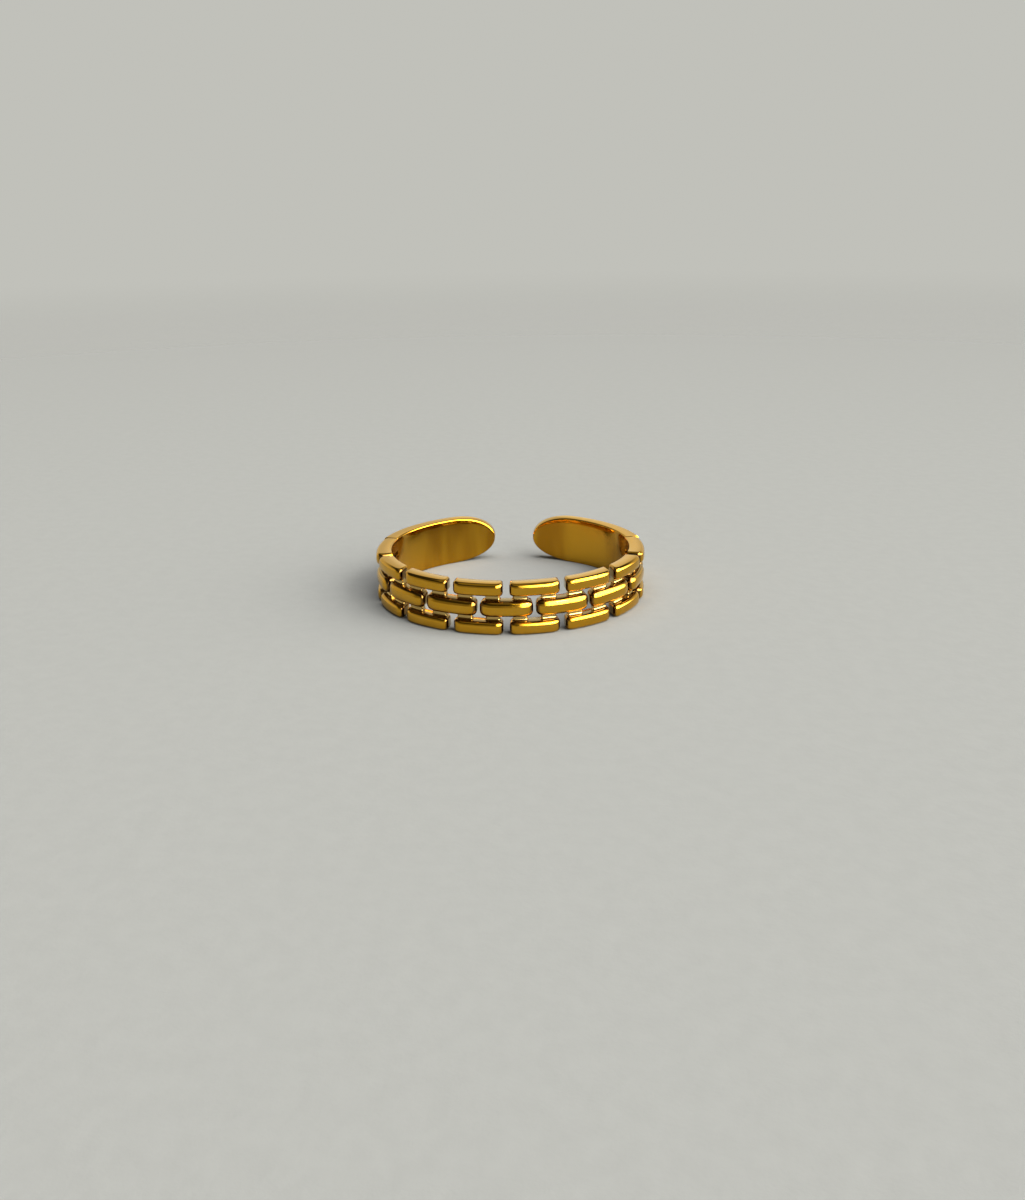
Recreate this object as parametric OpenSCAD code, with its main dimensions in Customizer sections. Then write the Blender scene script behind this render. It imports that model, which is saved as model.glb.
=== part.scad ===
// Open chain link ring: three rows of brick-laid links at the front, a plain shank with two rounded
// tips at the back. The ring lies on its side: the finger's axis is +Z, the lower rim is at z = 0, the
// middle of the links faces -Y and the opening between the tips faces +Y. Millimetres and degrees.

/* [Band] */
// Inner diameter of the shank, the hole for the finger
bore_d = 17.3; // [15:0.1:21]
// Width of the band along the finger
band_w = 3.5; // [3.2:0.1:5]
// Wall of the plain shank
shank_t = 1.05; // [0.85:0.05:1.3]
// Wall of the links, measured at their crowns
link_t = 1.12; // [0.9:0.01:1.4]
// How far the links stand in from the shank on the finger side
link_step_in = 0.12; // [0:0.01:0.2]
// Wall of the sunk bridges that hold the rows together
bridge_t = 0.6; // [0.35:0.05:0.65]

/* [Links] */
// Width of each outer row
outer_row_w = 0.86; // [0.75:0.01:0.95]
// Width of the centre row
centre_row_w = 1.06; // [0.9:0.01:1.2]
// Number of outer links on each side of the middle
links_per_side = 4; // [2:1:4]
// Angle taken by the outer link next to the middle
link_angle = 23; // [18:0.1:24]
// How much longer each further link is, in degrees
link_step = 1.9; // [0:0.1:3]
// Slit between two outer links
outer_gap = 0.43; // [0.2:0.01:0.6]
// Slit between two centre links
centre_gap = 0.19; // [0.12:0.01:0.4]
// Radius of the links' corners, seen from outside
corner_r = 0.28; // [0.1:0.01:0.35]
// Rounding where the crowns meet the links' long sides
edge_r = 0.2; // [0.1:0.01:0.35]
// Rounding where the crowns meet the links' ends
end_r = 0.36; // [0.15:0.01:0.4]
// How far the slits are turned to face the front, as a share of their angle from the middle
slit_turn = 0.6; // [0:0.05:0.65]
// Radius of the crowns' dome across a row
dome_r = 1.4; // [1.2:0.1:4]

/* [Shank] */
// Opening between the two tips
tip_gap = 3.0; // [1.5:0.1:5]
// Length over which a tip is rounded
tip_len = 3.5; // [2:0.1:5]
// Rounding of the shank's outer edges
shank_edge_r = 0.2; // [0.05:0.05:0.4]
// Width of the fine seam where the shank starts
seam_w = 0.12; // [0.06:0.01:0.25]
// Depth of that seam
seam_d = 0.1; // [0.05:0.01:0.2]

/* [Hidden] */

bore_r = bore_d / 2;
shank_r = bore_r + shank_t;
// Inside and crowns of the links
link_in_r = bore_r - link_step_in;
link_r = link_in_r + link_t;
half_w = band_w / 2;
// The centre row reaches up to centre_z, the outer rows start at outer_z, with a sunk gap between
centre_z = centre_row_w / 2;
outer_z = half_w - outer_row_w;
row_gap = outer_z - centre_z;
// How far the cutters run past what they cut
over = 1;
// The slits are turned by this much and no more, and those past turn_reach stay square to the band
turn_most = 30;
turn_reach = 65;
// Share of a rounding's radius from its centre to the faces, just under 1 so that no face is tangent
blend = 0.97;
// The tips' ellipse is this much wider than half the band on each side, and crosses the rims
tip_margin = 0.06;

// Angle from the middle of the ring to gap k of the outer rows; half numbers are the centre slits
function gap_at(k) = k * link_angle + k * (k - 1) / 2 * link_step;

// Turn of a slit at this angle away from the radius, towards the front
function turn_at(angle) = abs(angle) > turn_reach ? 0
    : sign(angle) * min(abs(angle) * slit_turn, turn_most);

chain_end = gap_at(links_per_side);
last_slit = gap_at(links_per_side - 0.5);

metal = [0.83, 0.62, 0.24];

// Square-sided wall with its outer edges rounded, drawn at x = radius, y = place along the finger
module wall_profile(low_r, top_r, width, round_r) {
    difference() {
        translate([low_r, -width / 2]) square([top_r - low_r, width]);
        for (side = [-1, 1])
            difference() {
                translate([top_r - round_r * blend, side * width / 2 - round_r * blend * (side + 1) / 2])
                    square([round_r + over, round_r * blend]);
                translate([top_r - round_r * blend, side * (width / 2 - round_r * blend)])
                    circle(r = round_r, $fn = 64);
            }
    }
}

// Section of one row of links: flat sides, rounded edges, a gently domed crown
module row_profile(width) {
    intersection() {
        wall_profile(link_in_r, link_r, width, edge_r);
        translate([link_r - dome_r, 0]) circle(r = dome_r, $fn = 128);
    }
}

// The three rows and the sunk web between them, before the links are parted
module chain_blank() {
    rotate_extrude(angle = 2 * chain_end, start = -90 - chain_end, $fn = 180)
        union() {
            row_profile(centre_row_w);
            for (side = [-1, 1])
                translate([0, side * (outer_z + half_w) / 2]) row_profile(outer_row_w);
            translate([link_in_r, -half_w + outer_row_w / 2])
                square([bridge_t, band_w - outer_row_w]);
        }
}

// Plan of one slit: parts the row from z_low to z_high with round corners, and opens the row gap
// at each end of it from open_low to open_high
module slit_plan(gap, z_low, z_high, open_low, open_high) {
    reach = gap / 2 + corner_r;
    inset = corner_r * blend;
    difference() {
        translate([-reach, z_low]) square([2 * reach, z_high - z_low]);
        for (side = [-1, 1]) {
            translate([side * reach, z_low + inset]) circle(r = corner_r, $fn = 48);
            translate([side * reach, z_high - inset]) circle(r = corner_r, $fn = 48);
            translate([side * reach - corner_r, z_low + inset])
                square([2 * corner_r, z_high - z_low - 2 * inset]);
        }
    }
    translate([-reach, open_low]) square([2 * reach, z_low - open_low]);
    translate([-reach, z_high]) square([2 * reach, open_high - z_high]);
}

// Flare of a slit at the crowns, which rounds the ends of the two links beside it
module slit_flare(gap) {
    reach = gap / 2 + end_r;
    centre = link_r - end_r * blend;
    difference() {
        translate([-reach, -link_r - over]) square([2 * reach, link_r + over - centre]);
        for (side = [-1, 1])
            translate([side * reach, -centre]) circle(r = end_r, $fn = 48);
    }
}

// One slit cut right through the wall, at an angle from the middle of the ring; from the crowns
// inwards it is turned towards the front
module slit(angle, gap, z_low, z_high, open_low, open_high) {
    rotate([0, 0, angle]) {
        translate([0, -link_r, 0]) rotate([0, 0, -turn_at(angle)])
            translate([0, link_t + over, 0]) rotate([90, 0, 0])
                linear_extrude(link_t + 2 * over)
                    slit_plan(gap * cos(turn_at(angle)), z_low, z_high, open_low, open_high);
        translate([0, 0, z_low - row_gap / 2])
            linear_extrude(z_high - z_low + row_gap) slit_flare(gap);
    }
}

// Slits of the centre row, each with a window through both row gaps
module centre_slits() {
    for (k = [0.5 : 1 : links_per_side - 0.5], side = [-1, 1])
        slit(side * gap_at(k), centre_gap, -centre_z, centre_z, -outer_z, outer_z);
}

// Slits of the upper outer row, open at the rim and into the row gap
module upper_slits() {
    for (k = [0 : links_per_side - 1])
        for (side = k == 0 ? [1] : [-1, 1])
            slit(side * gap_at(k), outer_gap, outer_z, half_w, centre_z, half_w + over);
}

// Slots through the row gaps beside the last links, from the last centre slit to the shank
module end_slots() {
    slot_angle = chain_end - last_slit;
    for (side = [-1, 1], level = [-1, 1])
        rotate([0, 0, side * (last_slit + chain_end) / 2])
            rotate_extrude(angle = slot_angle, start = -90 - slot_angle / 2, $fn = 180)
                translate([bore_r - over, level * (outer_z + centre_z) / 2 - row_gap / 2])
                    square([link_t + 2 * over, row_gap]);
}

// Fine seam over the crowns and both rims where the shank starts
module seams() {
    floor_r = min(shank_r, link_r) - seam_d;
    for (side = [-1, 1])
        rotate([0, 0, side * chain_end])
            difference() {
                translate([-seam_w / 2, -link_r - over, -half_w - over])
                    cube([seam_w, link_t + 2 * over, band_w + 2 * over]);
                translate([-seam_w, -floor_r, -half_w + seam_d])
                    cube([2 * seam_w, floor_r, band_w - 2 * seam_d]);
            }
}

// The links, parted out of the blank and still joined by their bridges
module chain() {
    difference() {
        chain_blank();
        centre_slits();
        upper_slits();
        mirror([0, 0, 1]) upper_slits();
        end_slots();
    }
}

// Opening at the back, with a rounded tip on each side of it
module tip_opening() {
    reach = tip_gap / 2 + tip_len;
    rotate([90, 0, 180]) linear_extrude(link_r + over)
        difference() {
            square([2 * reach, band_w + 2 * over], center = true);
            for (side = [-1, 1])
                translate([side * reach, 0]) scale([tip_len, half_w + tip_margin])
                    circle(r = 1, $fn = 96);
        }
}

// Plain shank from one end of the chain round the back to the other
module shank() {
    difference() {
        rotate_extrude(angle = 360 - 2 * chain_end, start = -90 + chain_end, $fn = 180)
            wall_profile(bore_r, shank_r, band_w, shank_edge_r);
        tip_opening();
    }
}

module link_ring() {
    color(metal) translate([0, 0, half_w])
        difference() {
            union() {
                chain();
                shank();
            }
            seams();
        }
}

link_ring();
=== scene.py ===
"""Open chain link ring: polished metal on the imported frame, with its floor, lights and camera.

The ring lies on its side. Metres; the finger's axis is +Z, the links face -Y, the opening is at +Y.
"""
import math

import bmesh
import bpy
from mathutils import Matrix, Vector


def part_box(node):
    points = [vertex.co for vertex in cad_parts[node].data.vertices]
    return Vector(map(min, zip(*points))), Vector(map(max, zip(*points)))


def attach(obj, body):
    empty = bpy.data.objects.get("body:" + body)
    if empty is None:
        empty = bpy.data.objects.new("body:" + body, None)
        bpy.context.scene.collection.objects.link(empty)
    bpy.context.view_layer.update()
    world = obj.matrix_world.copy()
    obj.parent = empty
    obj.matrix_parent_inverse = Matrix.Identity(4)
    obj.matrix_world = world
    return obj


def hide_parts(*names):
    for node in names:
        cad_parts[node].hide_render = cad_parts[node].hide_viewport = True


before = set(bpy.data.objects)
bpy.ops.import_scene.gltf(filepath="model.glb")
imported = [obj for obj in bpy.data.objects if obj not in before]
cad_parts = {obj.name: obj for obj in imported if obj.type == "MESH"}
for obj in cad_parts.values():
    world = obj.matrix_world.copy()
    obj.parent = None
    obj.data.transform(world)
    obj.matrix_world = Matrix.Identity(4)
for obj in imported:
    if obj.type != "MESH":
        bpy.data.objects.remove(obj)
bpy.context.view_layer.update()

bl_info = {
    "name": "Open chain link ring",
    "version": (1, 0, 0),
    "blender": (4, 5, 0),
    "location": "3D View > Sidebar > Link ring",
    "description": "Makes an open ring of brick-laid links with a plain shank",
    "category": "Add Mesh",
}

MM = 0.001
NODE = "link_ring"
SLOT = "polished_gold"
BODY = "root"
BAND_WIDTH = round(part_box(NODE)[1][2], 7)
# Radius in millimetres at which the metal's patterns have their true size
MIDDLE_RADIUS = 9.2
# Half length of a blank's straight part before it is bent to its own place
BLANK_HALF = 1.5 * MM
# Edges that turn by more than this are shaded sharp
SHARP_FROM = math.radians(32)
# Tone of the lamps, between that of a bulb and daylight
LAMP_TONE = (1.0, 0.98, 0.93)
# Types of the node groups' sockets
FLOAT, VECTOR = "NodeSocketFloat", "NodeSocketVector"


# Sizes and colours that a user would change

def length(name, description, default, low=0.0, high=0.05):
    """A length in metres, shown in the scene's units."""
    return bpy.props.FloatProperty(name=name, description=description, default=default, min=low,
                                   max=high, precision=5, subtype="DISTANCE", unit="LENGTH")


def angle(name, description, degrees):
    """An angle, kept in radians."""
    return bpy.props.FloatProperty(name=name, description=description,
                                   default=math.radians(degrees), subtype="ANGLE")


def share(name, description, default, high=1.0):
    """A plain number from 0 up."""
    return bpy.props.FloatProperty(name=name, description=description, default=default, min=0.0,
                                   max=high)


def colour(name, description, default):
    """A colour in linear light."""
    return bpy.props.FloatVectorProperty(name=name, description=description, default=default,
                                         min=0.0, max=1.0, size=3, subtype="COLOR")


class RingSizes(bpy.types.PropertyGroup):
    """Sizes of the whole band."""
    bore: length("Bore radius", "Radius of the shank's inside", 8.65 * MM)
    width: length("Band width", "Width of the band along the finger", BAND_WIDTH)
    inner_ease: length("Inner ease", "Rounding of the shank's inner edges", 0.09 * MM)


class LinkSizes(bpy.types.PropertyGroup):
    """Sizes of the three rows of links."""
    per_side: bpy.props.IntProperty(name="Links per side", min=2, max=6, default=4,
                                    description="Outer links on each side of the middle")
    first_angle: angle("First link", "Angle taken by the outer link next to the middle", 23.0)
    angle_step: angle("Link step", "How much longer each further link is", 1.9)
    step_in: length("Step in", "How far the links stand in from the shank's inside", 0.12 * MM)
    # A hair under the solid's 1.12, so that the crowns stay inside its faceted outline
    wall: length("Link wall", "Thickness from the links' inside to the crowns", 1.119 * MM)
    outer_width: length("Outer row", "Width of each outer row", 0.86 * MM)
    centre_width: length("Centre row", "Width of the centre row", 1.06 * MM)
    slit_turn: share("Slit turn", "Turn of a slit towards the front, as a share of its angle", 0.6)
    turn_most: angle("Most turn", "The slits turn towards the front by this much at most", 30.0)
    turn_reach: angle("Turn reach", "Slits further from the middle stay square to the band", 65.0)
    outer_gap: length("Outer slit", "Slit between two outer links", 0.42 * MM)
    centre_gap: length("Centre slit", "Slit between two centre links", 0.19 * MM)
    outer_corner: length("Outer corners", "Outer links' corners seen from outside", 0.21 * MM)
    centre_corner: length("Centre corners", "Centre links' corners seen from outside", 0.36 * MM)
    edge: length("Edge radius", "Rounding where the crowns meet the sides", 0.21 * MM)
    dome: length("Dome radius", "Dome of the crowns across a row", 1.4 * MM)
    ease: length("Lower ease", "Rounding of the links' edges on the finger side", 0.05 * MM)
    outer_slope: length("Outer slope", "Length of the sloped ends of the outer crowns", 0.30 * MM)
    centre_slope: length("Centre slope", "Length of the sloped ends of the centre crowns",
                         0.42 * MM)
    slope_drop: length("Slope drop", "How far the crowns sink over their sloped ends", 0.20 * MM)
    slope_power: share("Slope power", "1 is a straight slope, above 1 it curves down", 1.5, 4.0)
    uneven: length("Unevenness", "Most that a crown is polished down", 0.012 * MM)
    seed: bpy.props.IntProperty(name="Seed", description="Seed of the unevenness", default=11)


class BridgeSizes(bpy.types.PropertyGroup):
    """Sizes of the sunk bridges that hold the rows together."""
    wall: length("Bridge wall", "Thickness from the links' inside to the ridge", 0.56 * MM)
    saddle: length("Saddle", "Hollow rounding where a bridge meets a link", 0.12 * MM)
    flare: length("Flare", "Hollow rounding of a window's corners", 0.07 * MM)
    end_round: length("End rounding", "Rounding of a bridge's ends", 0.12 * MM)
    recess: length("Recess", "How far the bridges stand back from the bore", 0.01 * MM)
    sink: length("Sink", "How far a bridge runs into a link", 0.12 * MM)


class ShankSizes(bpy.types.PropertyGroup):
    """Sizes of the plain shank and its two tips."""
    wall: length("Shank wall", "Thickness of the plain shank", 1.05 * MM)
    edge: length("Shank edge", "Rounding of the shank's outer edges", 0.2 * MM)
    tip_gap: length("Opening", "Opening between the two tips", 3.0 * MM)
    tip_length: length("Tip length", "Length over which a tip is rounded", 3.5 * MM)
    tip_power: share("Tip fullness", "Above 2 the tips are fuller than an ellipse", 2.3, 6.0)
    seam: length("Seam width", "Fine seam where the shank starts", 0.12 * MM)
    seam_depth: length("Seam depth", "Depth of that seam", 0.1 * MM)


class GoldFinish(bpy.types.PropertyGroup):
    """Colours and wear of the polished metal."""
    metal: colour("Metal", "Reflection of the polished metal, face on", (0.60, 0.305, 0.013))
    # Painted reflection: the sunk bridges get a creamier colour than the crowns, standing in for
    # the bright light they mirror
    deep: colour("Recesses", "Reflection in the sunk places", (0.52, 0.35, 0.11))
    # Painted shade: a dark brown for the links' ends and long sides down in the gaps, standing in
    # for the shade there
    shaded: colour("Link ends", "Reflection of the links' ends and sides, down in the gaps",
                   (0.16, 0.078, 0.012))
    # Painted shade: darker, redder bands on the finger side, standing in for the darker
    # surroundings and banded reflections mirrored inside the ring
    inner: colour("Finger side", "Reflection in the bands of tone on the finger side",
                  (0.42, 0.185, 0.003))
    rubbed: colour("Rubbed metal", "Reflection where wear has thinned the plating",
                   (0.68, 0.38, 0.04))
    roughness: share("Roughness", "Roughness of the polished crowns", 0.085)
    lacquer: share("Lacquer", "Clear lacquer over the plating", 0.26)
    lacquer_roughness: share("Lacquer roughness", "Roughness of that lacquer", 0.06)
    grazing: colour("Grazing tone", "Tone of the metal seen at a low angle", (1.0, 0.92, 0.66))
    wave: length("Waviness", "Height of the long waves left by polishing", 0.004 * MM)
    scratch: length("Scratches", "Depth of the fine scratches", 0.0006 * MM)


class StageLook(bpy.types.PropertyGroup):
    """Floor, lights and camera."""
    floor: colour("Floor", "Colour of the plain floor", (0.110, 0.113, 0.115))
    floor_radius: length("Floor radius", "Radius of the round floor", 0.9, high=2.0)
    horizon_back: share("Back light", "Brightness of the low surroundings behind", 1.0, 10.0)
    horizon_front: share("Front light", "Brightness of the low surroundings in front", 0.35, 10.0)
    overhead: share("Sky light", "Brightness of the sky above the low surroundings", 0.04, 10.0)
    zenith: share("Ceiling light", "Brightness straight above", 0.26, 10.0)
    warm_light: colour("Light tone", "Tone of the light from the surroundings", (1.0, 0.97, 0.86))
    backdrop: colour("Backdrop", "Tone of the backdrop, where it shows", (0.985, 0.985, 0.91))
    below: share("Far floor", "Brightness of the backdrop and the floor far away", 0.54, 10.0)
    window_glow: share("Window glow", "Brightness of the tall soft window", 14.0, 1000.0)
    window_turn: angle("Window turn", "Turn of the window from -Y towards +X", 68.0)
    window_width: angle("Window width", "Width of the window seen from the ring", 105.0)
    key_glow: share("Key glow", "Brightness of the small key light", 40.0, 1000.0)
    key_size: length("Key size", "Width of the small key light", 0.06, high=2.0)
    key_distance: length("Key distance", "From the ring to the key light", 0.33, high=2.0)
    key_turn: angle("Key turn", "Turn of the key light from -Y towards +X", 53.13)
    key_rise: angle("Key rise", "Height of the key light above the floor", 45.41)
    fill_glow: share("Fill glow", "Brightness of the wide light overhead", 9.0, 1000.0)
    fill_size: length("Fill size", "Width of the wide light overhead", 0.50, high=2.0)
    fill_height: length("Fill height", "From the ring up to the wide light", 0.50, high=2.0)
    distance: length("Camera distance", "From the ring's centre to the camera", 0.090, high=2.0)
    elevation: angle("Camera elevation", "Height of the camera above the floor", 16.7)
    azimuth: angle("Camera azimuth", "Turn of the camera from -Y towards +X", 2.0)
    roll: angle("Camera roll", "Tilt of the picture", 0.9)
    lens: share("Lens", "Focal length in millimetres", 37.2, 500.0)


# Small helpers

def linspace(low, high, steps):
    """steps + 1 even values from low to high."""
    return [low + (high - low) * i / steps for i in range(steps + 1)]


def quarter(steps, first=0):
    """Sine and cosine over a quarter turn, from this step on."""
    for step in range(first, steps + 1):
        lean = math.radians(90) * step / steps
        yield math.sin(lean), math.cos(lean)


def tube_faces(count, sections, far_cap=True):
    """Faces of a tube through sections of count points each, with a cap at one end or both."""
    faces = [list(range(count))]
    for s in range(sections - 1):
        for k in range(count):
            following = (k + 1) % count
            faces.append([s * count + k, s * count + following,
                          (s + 1) * count + following, (s + 1) * count + k])
    if far_cap:
        faces.append([(sections - 1) * count + k for k in range(count)])
    return faces


def close_mesh(mesh, distance=1e-7):
    """Merges doubles and turns every face outwards."""
    work = bmesh.new()
    work.from_mesh(mesh)
    bmesh.ops.remove_doubles(work, verts=work.verts, dist=distance)
    bmesh.ops.dissolve_degenerate(work, edges=work.edges, dist=distance / 10)
    bmesh.ops.recalc_face_normals(work, faces=work.faces)
    work.to_mesh(mesh)
    work.free()


def closed_mesh(name, points, faces, **attributes):
    """A closed mesh with outward faces; attributes are lists of numbers, one for each point."""
    mesh = bpy.data.meshes.new(name)
    mesh.from_pydata(points, [], faces)
    for key, values in attributes.items():
        mesh.attributes.new(key, "FLOAT", "POINT").data.foreach_set("value", values)
    mesh.validate()
    close_mesh(mesh)
    return mesh


def new_object(name, mesh):
    """A new object at the origin in the scene's own collection."""
    thing = bpy.data.objects.new(name, mesh)
    bpy.context.scene.collection.objects.link(thing)
    return thing


def flattened(thing, name):
    """The object's evaluated result as a plain mesh; the object itself is removed."""
    graph = bpy.context.evaluated_depsgraph_get()
    graph.update()
    mesh = bpy.data.meshes.new_from_object(thing.evaluated_get(graph), depsgraph=graph)
    mesh.name = name
    bpy.data.objects.remove(thing)
    return mesh


class Result:
    """One output of a node, or a plain number. Arithmetic with it makes Math nodes."""

    def __init__(self, tree, source):
        self.tree = tree
        self.source = source

    def calc(self, operation, other=0.0):
        """One Math node, with another number where it takes two."""
        return made(self.tree, "ShaderNodeMath", {0: self, 1: other}, operation=operation)

    def __add__(self, other):
        return self.calc("ADD", other)

    def __sub__(self, other):
        return self.calc("SUBTRACT", other)

    def __rsub__(self, other):
        return Result(self.tree, other) - self

    def __mul__(self, other):
        return self.calc("MULTIPLY", other)

    def __truediv__(self, other):
        return self.calc("DIVIDE", other)

    def __neg__(self):
        return self * -1.0

    def __abs__(self):
        return self.calc("ABSOLUTE")

    def ramp(self, low, high, to_low=0.0, to_high=1.0):
        """A smooth ramp between two values."""
        return made(self.tree, "ShaderNodeMapRange",
                    {0: self, 1: low, 2: high, 3: to_low, 4: to_high},
                    interpolation_type="SMOOTHSTEP")

    def fall(self, low, high):
        """A smooth ramp from 1 down to 0."""
        return self.ramp(low, high, 1.0, 0.0)

    def noise(self, scale, detail, roughness=0.5):
        """A Noise Texture's factor, with this as its place."""
        return made(self.tree, "ShaderNodeTexNoise", {"Vector": self, "Scale": scale,
                                                      "Detail": detail, "Roughness": roughness})

    def mix(self, first, second):
        """A mix of two numbers, by this share."""
        return made(self.tree, "ShaderNodeMix", {"Factor": self, "A": first, "B": second})

    def mix_colours(self, first, second):
        """A mix of two colours by this share, each a result or its red, green and blue."""
        first, second = (given if isinstance(given, Result) else (*given, 1.0)
                         for given in (first, second))
        return made(self.tree, "ShaderNodeMix", {"Factor": self, 6: first, 7: second}, output=2,
                    data_type="RGBA")

    def split(self):
        """The x, y and z of a vector."""
        node = add_node(self.tree, "ShaderNodeSeparateXYZ", {0: self})
        return [Result(self.tree, socket) for socket in node.outputs]


def wire(tree, value, socket):
    """Feeds a socket from another one, or gives it a plain value."""
    if isinstance(value, Result):
        value = value.source
    if isinstance(value, bpy.types.NodeSocket):
        tree.links.new(value, socket)
    else:
        socket.default_value = value


def add_node(tree, kind, inputs=(), **settings):
    """A node with its settings, and its inputs given by name or number."""
    node = tree.nodes.new(kind)
    for key, value in settings.items():
        setattr(node, key, value)
    for key, value in dict(inputs).items():
        wire(tree, value, node.inputs[key])
    return node


def made(tree, kind, inputs=(), output=0, **settings):
    """One output of a new node, given by name or number."""
    return Result(tree, add_node(tree, kind, inputs, **settings).outputs[output])


def named_outputs(tree, node):
    """All of a node's outputs, by name."""
    return {socket.name: Result(tree, socket) for socket in node.outputs}


def new_group(name, kind, inputs, outputs):
    """A node group with these names of sockets, by type: its tree, its inputs and its end."""
    tree = bpy.data.node_groups.new(name, kind)
    for way, sockets in (("INPUT", inputs), ("OUTPUT", outputs)):
        for socket_type, names in sockets.items():
            for socket_name in names:
                tree.interface.new_socket(socket_name, in_out=way, socket_type=socket_type)
    given = named_outputs(tree, tree.nodes.new("NodeGroupInput"))
    return tree, given, tree.nodes.new("NodeGroupOutput").inputs


def bare_tree(block):
    """The emptied node tree of a material or world."""
    block.use_nodes = True
    block.node_tree.nodes.clear()
    return block.node_tree


def flat_distance(x, y):
    """Distance from the axis of a point at x, y."""
    return (x * x + y * y).calc("SQRT")


# Links and bridges, by rule

def gap_angle_group():
    """Node group: the angle of a gap from its number, counted from the middle of the ring."""
    tree, given, end = new_group("gap_angle", "GeometryNodeTree", {
        FLOAT: ("Gap number", "First link", "Link step")}, {FLOAT: ("Angle",)})
    count = abs(given["Gap number"])
    size = count * given["First link"] + count * (count - 1.0) * 0.5 * given["Link step"]
    wire(tree, size * given["Gap number"].calc("SIGN"), end["Angle"])
    return tree


def gap_choice_group():
    """Node group: one of three values, for whole gaps, half gaps and the ends of the chain."""
    tree, given, end = new_group("gap_choice", "GeometryNodeTree", {
        FLOAT: ("Gap number", "Last gap", "Whole", "Half", "End")}, {FLOAT: ("Value",)})
    # Gap numbers are whole or half, so a quarter is a safe margin for telling them apart
    margin = 0.25
    count = abs(given["Gap number"]) + margin
    is_half = count.calc("FRACT").calc("GREATER_THAN", 2 * margin)
    is_end = count.calc("GREATER_THAN", given["Last gap"])
    wire(tree, is_end.mix(is_half.mix(given["Whole"], given["Half"]), given["End"]), end["Value"])
    return tree


ROW_INPUTS = {
    "NodeSocketGeometry": ("Blank",),
    "NodeSocketInt": ("Pieces", "Levels", "Seed"),
    FLOAT: (
        "Row height", "Middle height", "First gap", "Gap step", "Last gap", "First link",
        "Link step", "Whole reach", "Half reach", "End reach", "End share", "Slit turn",
        "Most turn", "Turn reach", "Turn radius", "Bore", "Wall", "Unevenness"),
    "NodeSocketMaterial": ("Metal",),
}


def row_tree():
    """Geometry Nodes: repeats a straight blank along the ring and bends each one to its place.

    The blank has two attributes: along, from -1 to 1 over its straight part, and past, how far a
    point stands beyond that part. Each end keeps its own distance from the plane of its gap.
    """
    tree, given, out = new_group("bent_row", "GeometryNodeTree", ROW_INPUTS,
                                 {"NodeSocketGeometry": ("Row",)})
    tree.is_modifier = True

    # One point for each piece; pieces on two levels take turns
    points = made(tree, "GeometryNodePoints", {"Count": given["Pieces"] * given["Levels"]})
    index = made(tree, "GeometryNodeInputIndex")
    number = (index / given["Levels"]).calc("FLOOR")
    side = index.calc("MODULO", given["Levels"]) * 2.0 - 1.0
    start = given["First gap"] + number * given["Gap step"]
    facts = {"height": side * given["Row height"]}
    angle_group, choice_group = gap_angle_group(), gap_choice_group()
    for end, gap in (("low", start), ("high", start + given["Gap step"])):
        gap = gap.calc("MAXIMUM", -given["Last gap"]).calc("MINIMUM", given["Last gap"])
        angle = made(tree, "GeometryNodeGroup", {
            "Gap number": gap, "First link": given["First link"],
            "Link step": given["Link step"]}, node_tree=angle_group)
        turned = (angle * given["Slit turn"]).calc("MINIMUM", given["Most turn"])
        turned = turned.calc("MAXIMUM", -given["Most turn"])
        turned = turned * abs(angle).calc("LESS_THAN", given["Turn reach"])
        facts[end + "_angle"] = angle
        for fact, whole, half, last in (
                ("_reach", given["Whole reach"], given["Half reach"], given["End reach"]),
                ("_share", 1.0, 1.0, given["End share"]),
                ("_turn", turned, turned, 0.0)):
            facts[end + fact] = made(tree, "GeometryNodeGroup", {
                "Gap number": gap, "Last gap": given["Last gap"], "Whole": whole, "Half": half,
                "End": last}, node_tree=choice_group)
    random = made(tree, "FunctionNodeRandomValue", {"Seed": given["Seed"]}, output=1,
                  data_type="FLOAT")
    facts["polished_down"] = random * given["Unevenness"]
    for name, value in facts.items():
        points = made(tree, "GeometryNodeStoreNamedAttribute",
                      {"Geometry": points, "Name": name, "Value": value},
                      data_type="FLOAT", domain="POINT")
    pieces = made(tree, "GeometryNodeInstanceOnPoints",
                  {"Points": points, "Instance": given["Blank"]})
    pieces = made(tree, "GeometryNodeRealizeInstances", {0: pieces})

    # Bend every point of every piece round the finger's axis
    def read(name):
        return made(tree, "GeometryNodeInputNamedAttribute", {"Name": name}, data_type="FLOAT")

    _, across, height = made(tree, "GeometryNodeInputPosition").split()
    radius = given["Bore"] + height - read("polished_down") * (height / given["Wall"])
    below = given["Turn radius"] / radius.calc("MINIMUM", given["Turn radius"])
    angles = []
    for end, sign in (("low", -1.0), ("high", 1.0)):
        past = (read("past") * sign).calc("MAXIMUM", 0.0)
        away = read(end + "_reach") - past * read(end + "_share")
        turn = (away / radius).calc("ARCSINE") * -sign
        # From the crowns inwards the slit leaves the radius, to face the front
        slant = (read(end + "_turn").calc("SINE") * below).calc("ARCSINE") - read(end + "_turn")
        angles.append(read(end + "_angle") + slant + turn)
    middle = (read("along") + 1.0) * 0.5
    bend = angles[0] + (angles[1] - angles[0]) * middle
    spot = made(tree, "ShaderNodeCombineXYZ", {
        0: radius * bend.calc("SINE"), 1: -(radius * bend.calc("COSINE")),
        2: across + (read("height") + given["Middle height"])})
    bent = made(tree, "GeometryNodeSetPosition", {"Geometry": pieces, "Position": spot})
    for name in (*facts, "along", "past"):
        bent = made(tree, "GeometryNodeRemoveAttribute", {"Geometry": bent, "Name": name})
    bent = made(tree, "GeometryNodeSetMaterial", {"Geometry": bent, "Material": given["Metal"]})
    wire(tree, bent, out["Row"])
    return tree


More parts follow.
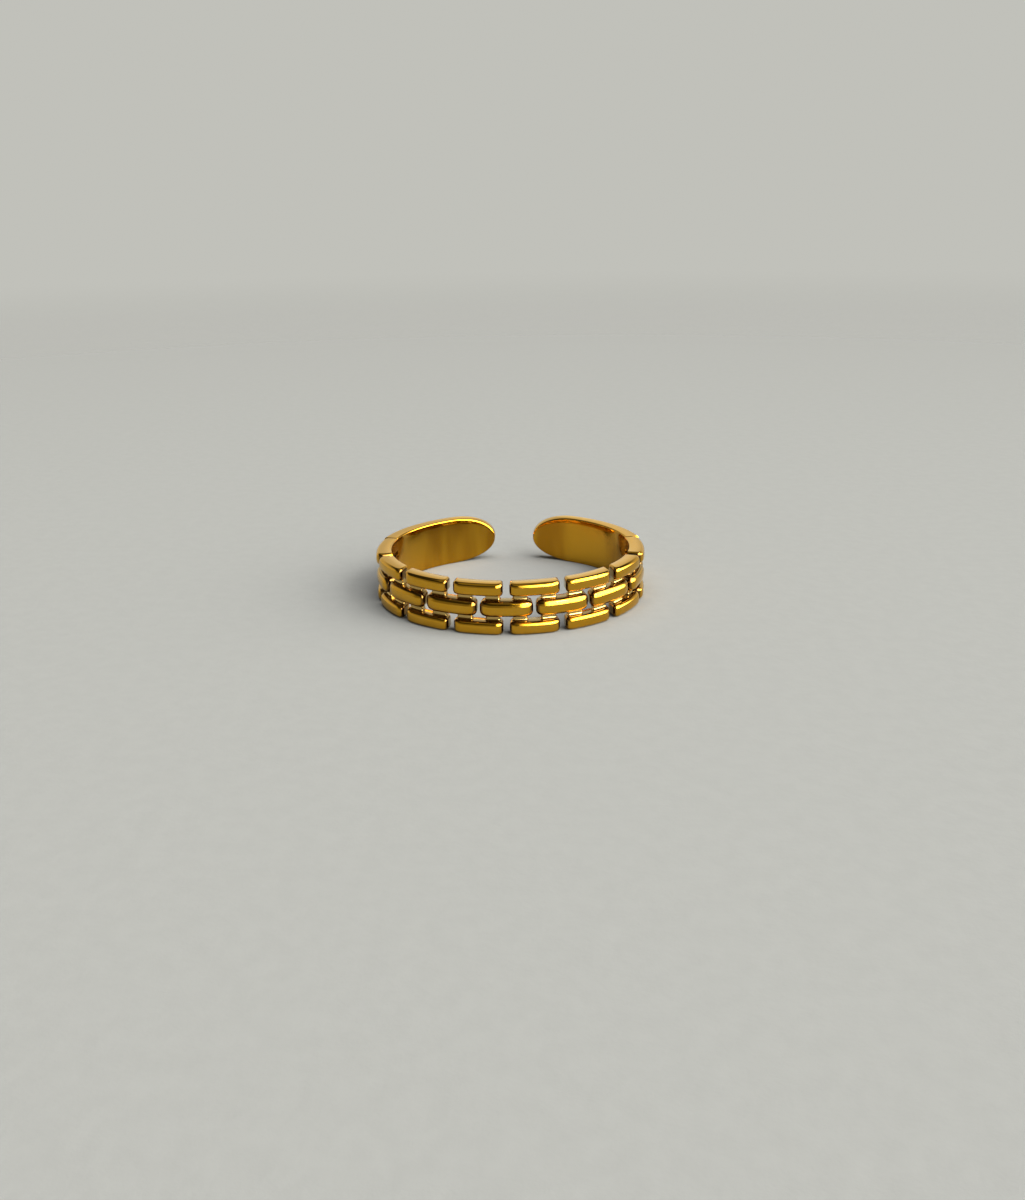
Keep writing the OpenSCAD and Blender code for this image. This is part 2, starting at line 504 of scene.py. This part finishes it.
def bent_row(name, blank, tree, values):
    """The blank repeated and bent by the tree, as one plain mesh."""
    thing = new_object(name, blank)
    modifier = thing.modifiers.new(name, "NODES")
    modifier.node_group = tree
    for item in tree.interface.items_tree:
        if item.in_out == "INPUT" and item.name in values:
            modifier[item.identifier] = values[item.name]
    return flattened(thing, name)


def link_blank(name, row_width, corner, slope, sizes):
    """A straight link: domed crown with sloped, rounded ends, flat sides, eased lower edges."""
    core_steps, slope_steps, across_steps = 16, 3, 6
    corner_steps, edge_steps, ease_steps = 6, 7, 2
    half_core = row_width / 2 - corner
    columns = [(value, 0.0) for value in linspace(-1.0, 1.0, core_steps)]
    slopes = [(1.0, past) for past in linspace(0.0, slope, slope_steps)[1:]]
    columns = [(-1.0, -past) for _, past in reversed(slopes)] + columns + slopes
    along_steps = len(columns) - 1
    rows = linspace(-half_core, half_core, across_steps)

    def crown(past_here, across):
        sunk = sizes.slope_drop * (abs(past_here) / (slope + corner)) ** sizes.slope_power
        return sizes.wall - sizes.dome + math.sqrt(sizes.dome ** 2 - across ** 2) - sunk

    # The way round the plan: the spot on the straight part, and the direction away from it
    way = []
    spots = ((along_steps, across_steps), (0, across_steps), (0, 0), (along_steps, 0))
    for turn, outwards in enumerate(((0.0, 1.0), (-1.0, 0.0), (0.0, -1.0), (1.0, 0.0))):
        (column, row), (far_column, far_row) = spots[turn], spots[(turn + 1) % len(spots)]
        for step in range(corner_steps + 1):
            heading = math.radians(90) * (turn + step / corner_steps)
            way.append((column, row, math.cos(heading), math.sin(heading)))
        count = abs(far_column - column) + abs(far_row - row)
        way += [(column + (far_column - column) * k // count,
                 row + (far_row - row) * k // count, *outwards) for k in range(1, count)]

    points, faces, along, past = [], [], [], []

    def put(spot_along, spot_past, across, height):
        points.append((spot_along * BLANK_HALF + spot_past, across, height))
        along.append(spot_along)
        past.append(spot_past)
        return len(points) - 1

    def grid(height_of):
        return {(i, j): put(*column, row, height_of(column[1], row))
                for i, column in enumerate(columns) for j, row in enumerate(rows)}

    def loop(reach, height_of):
        ring = []
        for i, j, step_x, step_y in way:
            past_here = columns[i][1] + reach * step_x
            across = rows[j] + reach * step_y
            ring.append(put(columns[i][0], past_here, across, height_of(past_here, across)))
        return ring

    top = grid(crown)
    loops = [[top[i, j] for i, j, _, _ in way]]
    for sine, cosine in quarter(edge_steps, first=1):
        drop = sizes.edge * (1 - cosine)
        loops.append(loop(corner * sine, lambda x, y, d=drop: crown(x, y) - d))
    for sine, cosine in quarter(ease_steps):
        level = sizes.ease * (1 - sine)
        loops.append(loop(corner - sizes.ease * (1 - cosine), lambda x, y, h=level: h))
    bottom = grid(lambda x, y: 0.0)
    loops.append([bottom[i, j] for i, j, _, _ in way])
    for above, below in zip(loops, loops[1:]):
        for k in range(len(way)):
            following = (k + 1) % len(way)
            corners = (above[k], above[following], below[following], below[k])
            face = list(dict.fromkeys(corners))
            if len(face) > 2:
                faces.append(face)
    for plate in (top, bottom):
        for i in range(along_steps):
            for j in range(across_steps):
                faces.append([plate[i, j], plate[i + 1, j], plate[i + 1, j + 1], plate[i, j + 1]])
    return closed_mesh(name, points, faces, along=along, past=past)


def bridge_blank(name, row_gap, sizes):
    """A straight bridge: a saddle across, rounded ends that flare towards the links."""
    along_steps, across_steps, round_steps = 8, 8, 4
    half = row_gap / 2

    def hollow(across, radius, most=0.95):
        """How far a hollow rounding of this radius has risen towards the link's side."""
        part = min(max((abs(across) - half + radius) / radius, 0.0), most)
        return radius * (1 - math.sqrt(1 - part * part))

    spread = [half * math.sin(math.radians(90) * k / across_steps)
              for k in range(-across_steps, across_steps + 1)]
    sections = [-half - sizes.sink] + spread + [half + sizes.sink]
    points, along, past = [], [], []
    for across in sections:
        ridge = sizes.wall + hollow(across, sizes.saddle)
        face_at = sizes.end_round + hollow(across, sizes.flare)
        outline = [(value, 0.0, sizes.recess) for value in linspace(-1.0, 1.0, along_steps)]
        upper = [(face_at - sizes.end_round * (1 - cosine), ridge - sizes.end_round * (1 - sine))
                 for sine, cosine in quarter(round_steps)]
        outline += [(1.0, face_at - sizes.recess, sizes.recess),
                    (1.0, face_at, 2 * sizes.recess)]
        outline += [(1.0, reach, height) for reach, height in upper]
        outline += [(value, 0.0, ridge) for value in linspace(1.0, -1.0, along_steps)[1:-1]]
        outline += [(-1.0, -reach, height) for reach, height in reversed(upper)]
        outline += [(-1.0, -face_at, 2 * sizes.recess),
                    (-1.0, sizes.recess - face_at, sizes.recess)]
        for spot_along, spot_past, height in outline:
            points.append((spot_along * BLANK_HALF + spot_past, across, height))
            along.append(spot_along)
            past.append(spot_past)
    faces = tube_faces(len(outline), len(sections))
    return closed_mesh(name, points, faces, along=along, past=past)


# Shank

def chain_end_angle(links):
    """Angle from the middle of the ring to the end of the chain."""
    n = links.per_side
    return n * links.first_angle + n * (n - 1) / 2 * links.angle_step


def crown_radius(ring, links):
    """Radius of the links' crowns, from where the slits are turned towards the front."""
    return ring.bore - links.step_in + links.wall


def shank_section(ring, shank):
    """The shank's section as (share across or None, side, inset, radius), in order all round."""
    face_steps, edge_steps, ease_steps = 10, 6, 3
    outer = ring.bore + shank.wall
    section = [(f, 0, shank.edge, outer) for f in linspace(-1.0, 1.0, face_steps)]
    for sine, cosine in quarter(edge_steps, first=1):
        section.append((None, 1, shank.edge * (1 - sine), outer - shank.edge * (1 - cosine)))
    for sine, cosine in quarter(ease_steps):
        section.append((None, 1, ring.inner_ease * (1 - cosine),
                        ring.bore + ring.inner_ease * (1 - sine)))
    upper_side = section[face_steps + 1:]
    section += [(f, 0, ring.inner_ease, ring.bore)
                for f in linspace(1.0, -1.0, face_steps)[1:-1]]
    section += [(None, -1, inset, radius) for _, _, inset, radius in reversed(upper_side)]
    return section


def shank_half(name, ring, links, shank):
    """One arm of the shank, from the end of the chain to its rounded tip, on the +X side."""
    straight_steps, tip_steps = 36, 26
    half = ring.width / 2
    tip_start = shank.tip_gap / 2 + shank.tip_length
    back_angle = math.pi - chain_end_angle(links)
    section = shank_section(ring, shank)
    # The arm's end at the seam is eased by lip, which leaves most of the wall
    lip, wall_left = 0.05 * MM, 0.9
    # Step along the tip for finding its outline's direction
    probe = 1e-5

    def tip_half_width(part):
        return half * math.sqrt(max(1 - part ** shank.tip_power, 0.0))

    stations = [("cap", 0.0)]
    stations += [("straight", part) for part in linspace(0.0, 1.0, straight_steps)]
    stations += [("tip", sine) for sine, _ in quarter(tip_steps, first=1)]
    points = []
    for kind, part in stations:
        for across, side, inset, radius in section:
            if kind == "tip":
                here = tip_half_width(part)
                ahead = tip_half_width(min(part + probe, 1.0))
                back = tip_half_width(part - probe)
                run, rise = shank.tip_length * 2 * probe, back - ahead
                if part + probe > 1.0:
                    run, rise = 0.0, 1.0
                size = math.hypot(run, rise)
                x = tip_start - shank.tip_length * part + inset * rise / size
                reach = max(here - inset * run / size, 0.0)
                turn = math.asin(x / radius)
            else:
                reach = half - inset
                gap = shank.seam / 2 + lip
                if kind == "cap":
                    reach -= lip
                    gap = shank.seam / 2
                    radius = max(radius - lip, ring.bore + (radius - ring.bore) * wall_left)
                first = back_angle - math.asin(gap / radius)
                turn = first + (math.asin(tip_start / radius) - first) * part
            z = reach * across if across is not None else reach * side
            points.append((radius * math.sin(turn), radius * math.cos(turn), half + z))
    return closed_mesh(name, points, tube_faces(len(section), len(stations), far_cap=False))


def tongue(name, ring, links, shank, low, high):
    """A tongue through the seam that joins one row of links to the shank, on the +X side."""
    steps, reach, above_bore = 4, 0.4 * MM, 0.012 * MM
    back_angle = math.pi - chain_end_angle(links)
    lower = ring.bore + above_bore
    upper = min(ring.bore + shank.wall, crown_radius(ring, links)) - shank.seam_depth
    points = []
    for offset in linspace(-reach, reach, steps):
        for radius, z in ((lower, low), (upper, low), (upper, high), (lower, high)):
            turn = back_angle + math.asin(offset / radius)
            points.append((radius * math.sin(turn), radius * math.cos(turn), z))
    return closed_mesh(name, points, tube_faces(4, steps + 1))


def both_sides(name, meshes):
    """The meshes and their mirror images across the ring's middle, as one mesh."""
    work = bmesh.new()
    for mesh in meshes:
        work.from_mesh(mesh)
        mirrored = mesh.copy()
        mirrored.transform(Matrix.Scale(-1, 4, (1, 0, 0)))
        work.from_mesh(mirrored)
        bpy.data.meshes.remove(mirrored)
    bmesh.ops.recalc_face_normals(work, faces=work.faces)
    result = bpy.data.meshes.new(name)
    work.to_mesh(result)
    work.free()
    return result


# The polished metal

def band_place_group():
    """Shader group: where a point is on the band, from Object coordinates, in millimetres."""
    tree, _, out = new_group("band_place", "ShaderNodeTree", {}, {
        FLOAT: ("Round", "Along finger", "Radius"), VECTOR: ("Flat",)})
    there = made(tree, "ShaderNodeTexCoord", output="Object")
    x, y, z = (part * (1 / MM) for part in there.split())
    radius = flat_distance(x, y)
    around = x.calc("ARCTAN2", -y) * MIDDLE_RADIUS
    flat = made(tree, "ShaderNodeCombineXYZ", {0: around, 1: z, 2: radius})
    for socket, value in zip(out, (around, z, radius, flat)):
        wire(tree, value, socket)
    return tree


def scratch_group():
    """Shader group: hair-fine scratches in three crossing directions, as a height from 0 to 1."""
    tree, given, out = new_group("fine_scratches", "ShaderNodeTree",
                                 {VECTOR: ("Flat",), FLOAT: ("Density",)}, {FLOAT: ("Height",)})
    shallow, deep = 0.60, 0.72
    height = Result(tree, 0.0)
    for turn, stretch in ((12.0, (2.0, 46.0, 4.0)), (-38.0, (2.6, 38.0, 4.0)),
                          (74.0, (1.7, 52.0, 4.0))):
        turned = made(tree, "ShaderNodeMapping", {
            "Vector": given["Flat"], "Rotation": (0, 0, math.radians(turn)), "Scale": stretch})
        line = turned.noise(scale=given["Density"], detail=2.0, roughness=0.6)
        height = height.calc("MAXIMUM", line.ramp(shallow, deep))
    wire(tree, height, out["Height"])
    return tree


def band_masks(place, ring, links):
    """Where on the band a point is: one value from 0 to 1 for each kind of place."""
    bore, crown = ring.bore / MM, crown_radius(ring, links) / MM
    half_band, centre_z = ring.width / 2 / MM, links.centre_width / 2 / MM
    outer_z = half_band - links.outer_width / MM
    chain_half = chain_end_angle(links) * MIDDLE_RADIUS
    radius = place["Radius"]
    aside = abs(place["Along finger"] - half_band)

    # Each mask fades over a short way, given in millimetres from the edge or crown it belongs to
    gap_fade, chain_fade, rim_fade, inside_fade = (0.01, 0.05), (0.2, 0.1), (0.10, 0.03), 0.08
    sunk_fade, end_fade, side_fade, crest_fade = (0.55, 0.12), (0.20, 0.10), (0.28, 0.16), 0.12
    side_width, side_strength, inner_fade = (0.01, 0.03), 0.85, (0.04, 0.01)

    in_gap = (aside.ramp(*(centre_z - fade for fade in reversed(gap_fade)))
              * aside.fall(*(outer_z + fade for fade in gap_fade)))
    in_chain = abs(place["Round"]).fall(*(chain_half - fade for fade in chain_fade))
    off_rim = aside.fall(*(half_band - fade for fade in rim_fade))
    off_inside = radius.ramp(bore, bore + inside_fade)
    sunk, at_ends, at_sides = (radius.fall(*(crown - fade for fade in fades))
                               for fades in (sunk_fade, end_fade, side_fade))
    # Painted shade on the links' ends and lower fillets, outside the gaps between the rows
    ends = (1.0 - in_gap) * off_rim * off_inside * in_chain * at_ends
    # Painted shade: the links' long sides are as dark where they face the gaps between the rows
    to_side = abs(aside - centre_z).calc("MINIMUM", abs(aside - outer_z))
    sides = to_side.ramp(*side_width, side_strength, 0.0) * at_sides * off_inside * in_chain
    return {
        "shaded": ends.calc("MAXIMUM", sides),
        "sunk": sunk * in_chain * in_gap,
        "crest": radius.ramp(crown - crest_fade, crown),
        "inner": radius.ramp(*(bore + fade for fade in inner_fade)),
    }


def gold_material(finish, ring, links):
    """Polished plated metal: painted shade darkens the recesses and the finger side, a creamier
    painted reflection lies on the sunk bridges; paler where rubbed, softly waved.
    """
    metal = bpy.data.materials.new(SLOT)
    tree = bare_tree(metal)
    place = named_outputs(tree, add_node(tree, "ShaderNodeGroup", node_tree=band_place_group()))
    flat = place["Flat"]
    masks = band_masks(place, ring, links)

    # Colour: painted reflection on the sunk bridges, crests rubbed paler in patches, bands of
    # painted shade on the finger side, painted shade in the gaps
    most_rubbed, patch_range = 0.35, (0.42, 0.66)
    band_stretch, band_range = (0.55, 0.10, 1.0), (0.38, 0.66)
    patches = flat.noise(scale=0.8, detail=4.0, roughness=0.6).ramp(*patch_range)
    # Bands of painted shade across the finger side, placed by stretched noise
    bands = made(tree, "ShaderNodeMapping", {"Vector": flat, "Scale": band_stretch})
    bands = bands.noise(scale=1.0, detail=2.0).ramp(*band_range)
    # Painted reflection: the creamier colour on the sunk bridges between the rows
    tint = masks["sunk"].mix_colours(finish.metal, finish.deep)
    tint = (masks["crest"] * patches * most_rubbed).mix_colours(tint, finish.rubbed)
    tint = (bands * masks["inner"]).mix_colours(tint, finish.inner)
    # Painted shade over the links' ends and sides down in the gaps
    tint = masks["shaded"].mix_colours(tint, finish.shaded)

    # Roughness: cloudy handling marks over an even polish
    smoothest, roughest, cloud_range = finish.roughness * 0.7, finish.roughness * 1.5, (0.35, 0.70)
    scratch_roughness, sunk_roughness = 0.05, 0.06
    clouds = flat.noise(scale=1.7, detail=5.0, roughness=0.65)
    scratches = made(tree, "ShaderNodeGroup", {"Flat": flat, "Density": 1.0},
                     node_tree=scratch_group())
    rough = (clouds.ramp(*cloud_range, smoothest, roughest) + scratches * scratch_roughness
             + masks["sunk"] * sunk_roughness)

    # Bump: long polishing waves, then scratches
    waves = flat.noise(scale=0.75, detail=2.0, roughness=0.4)
    bump = made(tree, "ShaderNodeBump", {"Height": waves, "Strength": 1.0,
                                         "Distance": finish.wave})
    bump = made(tree, "ShaderNodeBump", {"Height": scratches, "Strength": 1.0, "Normal": bump,
                                         "Distance": finish.scratch}, invert=True)
    shader = made(tree, "ShaderNodeBsdfPrincipled", {
        "Base Color": tint, "Metallic": 1.0, "Roughness": rough, "Normal": bump,
        "Coat Weight": finish.lacquer, "Coat Roughness": finish.lacquer_roughness,
        "Specular Tint": (*finish.grazing, 1.0)})
    add_node(tree, "ShaderNodeOutputMaterial", {"Surface": shader})
    return metal


# Operators

def shared_inputs(ring, links):
    """The inputs of bent_row that links and bridges have in common."""
    return {
        "Middle height": ring.width / 2,
        "Last gap": float(links.per_side),
        "First link": links.first_angle,
        "Link step": links.angle_step,
        "Slit turn": links.slit_turn,
        "Most turn": links.turn_most,
        "Turn reach": links.turn_reach,
        "Turn radius": crown_radius(ring, links),
        "Bore": ring.bore - links.step_in,
        "Unevenness": links.uneven,
    }


class LINKRING_OT_links(bpy.types.Operator):
    """Make the outer and centre rows of links"""
    bl_idname = "linkring.links"
    bl_label = "Make links"

    def execute(self, context):
        scene = context.scene
        ring, links, shank = scene.ring_sizes, scene.link_sizes, scene.shank_sizes
        tree = row_tree()
        n = links.per_side
        # At the seams the ends slope over a quarter of the usual length
        end_share = 0.25
        for name, row_width, corner, slope, row in (
                ("outer_links", links.outer_width, links.outer_corner, links.outer_slope,
                 {"Pieces": 2 * n, "Levels": 2, "First gap": float(-n), "Seed": links.seed,
                  "Row height": (ring.width - links.outer_width) / 2}),
                ("centre_links", links.centre_width, links.centre_corner, links.centre_slope,
                 {"Pieces": 2 * n + 1, "Levels": 1, "First gap": -n - 0.5,
                  "Seed": links.seed + 1, "Row height": 0.0})):
            ends = slope + corner
            bent_row(name, link_blank(name + "_blank", row_width, corner, slope, links), tree, {
                **shared_inputs(ring, links), **row,
                "Gap step": 1.0,
                "Wall": links.wall,
                "End share": end_share,
                "Whole reach": links.outer_gap / 2 + ends,
                "Half reach": links.centre_gap / 2 + ends,
                "End reach": shank.seam / 2 + ends * end_share,
            })
        return {"FINISHED"}


class LINKRING_OT_bridges(bpy.types.Operator):
    """Make the sunk bridges between the rows"""
    bl_idname = "linkring.bridges"
    bl_label = "Make bridges"

    def execute(self, context):
        scene = context.scene
        ring, links, bridges = scene.ring_sizes, scene.link_sizes, scene.bridge_sizes
        n = links.per_side
        outer_z = ring.width / 2 - links.outer_width
        centre_z = links.centre_width / 2
        bent_row("bridges", bridge_blank("bridge_blank", outer_z - centre_z, bridges),
                 bpy.data.node_groups["bent_row"], {
            **shared_inputs(ring, links),
            "Pieces": 4 * n - 2,
            "Levels": 2,
            "Row height": (outer_z + centre_z) / 2,
            "First gap": 0.5 - n,
            "Gap step": 0.5,
            "Whole reach": links.outer_gap / 2 + links.outer_corner + bridges.end_round,
            "Half reach": links.centre_gap / 2 + links.centre_corner + bridges.end_round,
            "End reach": 0.0,
            "End share": 1.0,
            "Wall": bridges.wall,
            "Seed": links.seed + 2,
        })
        return {"FINISHED"}


class LINKRING_OT_shank(bpy.types.Operator):
    """Make the plain shank, its two tips and the tongues that hold it to the chain"""
    bl_idname = "linkring.shank"
    bl_label = "Make shank"

    def execute(self, context):
        scene = context.scene
        ring, links, shank = scene.ring_sizes, scene.link_sizes, scene.shank_sizes
        both_sides("shank", [shank_half("arm", ring, links, shank)])
        middle = ring.width / 2
        outer_z = middle - links.outer_width
        centre_z = links.centre_width / 2
        # The tongues stay this far inside the rows' sides
        inset = 0.03 * MM
        both_sides("tongues", [
            tongue("centre_tongue", ring, links, shank, middle - centre_z + inset,
                   middle + centre_z - inset),
            tongue("upper_tongue", ring, links, shank, middle + outer_z + inset,
                   ring.width - shank.seam_depth),
            tongue("lower_tongue", ring, links, shank, shank.seam_depth,
                   middle - outer_z - inset),
        ])
        return {"FINISHED"}


class LINKRING_OT_fuse(bpy.types.Operator):
    """Fuse links, bridges and shank into one closed polished ring"""
    bl_idname = "linkring.fuse"
    bl_label = "Fuse and polish"

    def execute(self, context):
        scene = context.scene
        ring, links = scene.ring_sizes, scene.link_sizes
        base = bmesh.new()
        base.from_mesh(bpy.data.meshes["outer_links"])
        base.from_mesh(bpy.data.meshes["centre_links"])
        rows = bpy.data.meshes.new("rows")
        base.to_mesh(rows)
        base.free()
        piece = new_object("polished_ring", rows)
        helpers = []
        for name in ("bridges", "tongues", "shank"):
            helper = new_object(name, bpy.data.meshes[name])
            helpers.append(helper)
            join = piece.modifiers.new(name, "BOOLEAN")
            join.operation = "UNION"
            join.solver = "MANIFOLD"
            join.object = helper
        mesh = flattened(piece, "polished_ring")
        for helper in helpers:
            bpy.data.objects.remove(helper)
        close_mesh(mesh)
        mesh.materials.clear()
        mesh.materials.append(gold_material(scene.gold_finish, ring, links))
        mesh.polygons.foreach_set("material_index", [0] * len(mesh.polygons))
        mesh.polygons.foreach_set("use_smooth", [True] * len(mesh.polygons))
        mesh.set_sharp_from_angle(angle=SHARP_FROM)
        piece = new_object("polished_ring", mesh)
        triangles = sum(len(face.vertices) - 2 for face in mesh.polygons)
        work = bmesh.new()
        work.from_mesh(mesh)
        open_edges = sum(not edge.is_manifold for edge in work.edges)
        work.free()
        print(f"polished_ring: {triangles} triangles, {open_edges} open edges")
        if open_edges or not triangles:
            raise RuntimeError("the fused ring isn't closed")
        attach(piece, BODY)
        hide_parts(NODE)
        return {"FINISHED"}


def floor_material(stage):
    """Plain pale floor with the faintest paper grain, fading into the backdrop far away."""
    grain_scale, grain_range, grain_tone = 900.0, (0.3, 0.7), 0.97
    grain_strength, grain_height = 0.15, 0.2 * MM
    dullness, fade_start, fade_end = 0.9, 0.06, 0.40
    paper = bpy.data.materials.new("pale_floor")
    tree = bare_tree(paper)
    there = made(tree, "ShaderNodeTexCoord", output="Object")
    x, y, _ = there.split()
    grain = there.noise(scale=grain_scale, detail=4.0, roughness=0.6)
    bump = made(tree, "ShaderNodeBump", {"Height": grain, "Strength": grain_strength,
                                         "Distance": grain_height})
    cover = made(tree, "ShaderNodeBsdfPrincipled", {
        "Base Color": grain.ramp(*grain_range).mix_colours(
            [part * grain_tone for part in stage.floor], stage.floor),
        "Roughness": dullness, "Specular IOR Level": 0.0, "Normal": bump,
        "Alpha": flat_distance(x, y).fall(fade_start, fade_end)})
    add_node(tree, "ShaderNodeOutputMaterial", {"Surface": cover})
    return paper


def soft_surroundings(stage):
    """World: a bright low horizon, a dim sky, a tall soft window and the floor's tone below."""
    world = bpy.data.worlds.new("soft_surroundings")
    tree = bare_tree(world)
    x, y, z = made(tree, "ShaderNodeTexCoord", output="Generated").split()
    # Fades, as parts of the direction's own x, y or z
    front_to_back, sideways, side_light = (-0.5, 0.6), (0.02, 0.14), 0.72
    to_sky, to_ceiling, from_floor = (0.36, 0.55), (0.78, 0.90), (-0.10, 0.06)
    window_foot, window_head = (0.0, 0.16), (0.78, 0.92)
    horizon = (y.ramp(*front_to_back, stage.horizon_front, stage.horizon_back)
               * abs(x).ramp(*sideways, 1.0, side_light))
    sky = z.ramp(*to_sky).mix(horizon, stage.overhead)
    ceiling = z.ramp(*to_ceiling, 0.0, stage.zenith)

    # The window stands in front and to one side, with soft edges
    clear, edge = (stage.window_width * part for part in (0.32, 0.60))
    aside = abs(x.calc("ARCTAN2", -y) - stage.window_turn)
    window = (aside.fall(clear, edge) * z.ramp(*window_foot) * z.fall(*window_head)
              * stage.window_glow)
    light = z.ramp(*from_floor).mix(stage.below, sky + ceiling + window)

    # The metal and the floor are lit by all this, behind them stands only a plain pale backdrop
    seen = made(tree, "ShaderNodeLightPath", output="Is Camera Ray")
    glow = made(tree, "ShaderNodeBackground", {
        "Color": seen.mix_colours(stage.warm_light, stage.backdrop),
        "Strength": seen.mix(light, stage.below)})
    add_node(tree, "ShaderNodeOutputWorld", {"Surface": glow})
    return world


def disc_light(name, size, glow, place, target):
    """A round lamp of this width and brightness, turned to its target."""
    lamp = bpy.data.lights.new(name, "AREA")
    area = math.pi * (size / 2) ** 2
    lamp.shape, lamp.size, lamp.energy = "DISK", size, glow * math.pi * area
    lamp.color = LAMP_TONE
    light = new_object(name, lamp)
    light.location = place
    light.rotation_euler = (target - place).to_track_quat("-Z", "Y").to_euler()
    return light


def seen_from(middle, distance, turn, rise):
    """A place at this distance, turned from -Y towards +X and raised from the floor."""
    flat = distance * math.cos(rise)
    return middle + Vector((flat * math.sin(turn), -flat * math.cos(turn),
                            distance * math.sin(rise)))


def photo_camera(stage, middle):
    """The camera, at the photograph's viewing angle and framing."""
    sensor, longer_side = 36.0, 1200
    # The ring's centre stands this many pixels above the picture's middle and left of it
    pixels_up, pixels_left = 31.9, 1.4
    lens = bpy.data.cameras.new("camera")
    lens.lens, lens.sensor_width, lens.clip_start = stage.lens, sensor, 2 * MM
    camera = new_object("camera", lens)
    camera.location = seen_from(middle, stage.distance, stage.azimuth, stage.elevation)
    focal = stage.lens / sensor * longer_side
    aim = (middle - camera.location).to_track_quat("-Z", "Y").to_matrix()
    for turn, axis in ((math.atan(pixels_up / focal), "X"), (math.atan(pixels_left / focal), "Y"),
                       (stage.roll, "Z")):
        aim = aim @ Matrix.Rotation(-turn, 3, axis)
    camera.rotation_euler = aim.to_euler()
    return camera


class LINKRING_OT_stage(bpy.types.Operator):
    """Set out the pale floor, the soft lights and the camera"""
    bl_idname = "linkring.stage"
    bl_label = "Set the stage"

    def execute(self, context):
        scene = context.scene
        stage = scene.stage_look
        work = bmesh.new()
        bmesh.ops.create_circle(work, cap_ends=True, radius=stage.floor_radius, segments=96)
        mesh = bpy.data.meshes.new("studio_floor")
        work.to_mesh(mesh)
        work.free()
        mesh.materials.append(floor_material(stage))
        floor = new_object("studio_floor", mesh)
        scene.world = soft_surroundings(stage)

        middle = Vector((0.0, 0.0, scene.ring_sizes.width / 2))
        disc_light("key_light", stage.key_size, stage.key_glow,
                   seen_from(middle, stage.key_distance, stage.key_turn, stage.key_rise), middle)
        # The wide light softens the shadows on the floor and isn't mirrored in the metal
        fill = disc_light("fill_light", stage.fill_size, stage.fill_glow,
                          middle + Vector((0.0, 0.0, stage.fill_height)), middle)
        fill.visible_glossy = False
        scene.camera = photo_camera(stage, middle)
        scene.view_settings.view_transform = "Standard"
        return {"FINISHED"}


STEPS = (LINKRING_OT_links, LINKRING_OT_bridges, LINKRING_OT_shank, LINKRING_OT_fuse,
         LINKRING_OT_stage)
GROUPS = (("ring_sizes", RingSizes), ("link_sizes", LinkSizes), ("bridge_sizes", BridgeSizes),
          ("shank_sizes", ShankSizes), ("gold_finish", GoldFinish), ("stage_look", StageLook))


class LINKRING_PT_panel(bpy.types.Panel):
    """Steps and sizes of the ring"""
    bl_idname = "LINKRING_PT_panel"
    bl_label = "Link ring"
    bl_space_type = "VIEW_3D"
    bl_region_type = "UI"
    bl_category = "Link ring"

    def draw(self, context):
        for step in STEPS:
            self.layout.operator(step.bl_idname)
        for name, group in GROUPS:
            box = self.layout.box()
            for key in group.__annotations__:
                box.prop(getattr(context.scene, name), key)


CLASSES = (*(group for _, group in GROUPS), *STEPS, LINKRING_PT_panel)


def register():
    for item in CLASSES:
        bpy.utils.register_class(item)
    for name, group in GROUPS:
        setattr(bpy.types.Scene, name, bpy.props.PointerProperty(type=group))


def unregister():
    for name, _ in GROUPS:
        delattr(bpy.types.Scene, name)
    for item in reversed(CLASSES):
        bpy.utils.unregister_class(item)


def main():
    register()
    bpy.ops.linkring.links()
    bpy.ops.linkring.bridges()
    bpy.ops.linkring.shank()
    bpy.ops.linkring.fuse()
    bpy.ops.linkring.stage()


if __name__ == "__main__":
    main()
